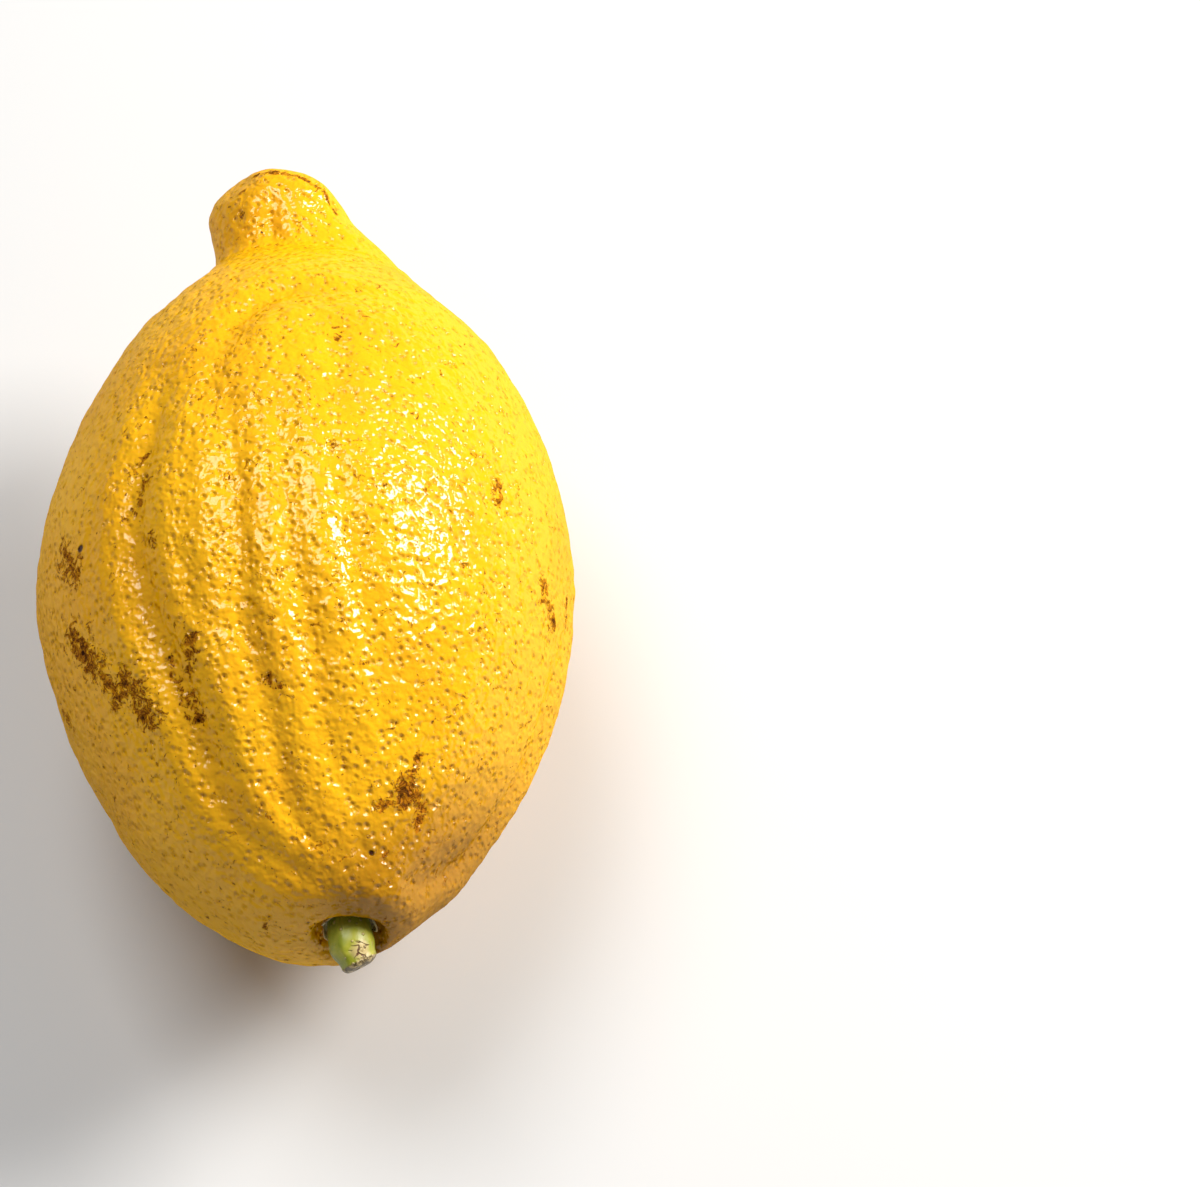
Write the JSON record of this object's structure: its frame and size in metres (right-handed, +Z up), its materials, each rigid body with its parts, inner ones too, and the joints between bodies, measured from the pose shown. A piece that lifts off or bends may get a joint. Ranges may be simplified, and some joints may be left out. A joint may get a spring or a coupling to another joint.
{
  "type": "citron",
  "caption": "Whole ripe citron lying on its side: a furrowed, pitted yellow fruit with a blunt nipple at one end and a cut stub of green stem at the other.",
  "frame": {"origin": "middle of the small pressed flat on the underside that the fruit lies on", "axes": "+Z up; +Y along the fruit's long axis towards its nipple; +X to the right seen from the stem end"},
  "size_m": [0.0746, 0.1209, 0.0732],
  "materials": {
    "rind": "thick yellow citrus rind, finely pitted with oil glands, waxy gloss, brown scars",
    "calyx": "dry grey-green plant tissue, matt",
    "stem": "green bark, smooth, with a tan corky patch and a brown cut end"
  },
  "bodies": {
    "root": {"fruit": "rind", "calyx": "calyx", "stem": "stem"}
  },
  "joints": []
}
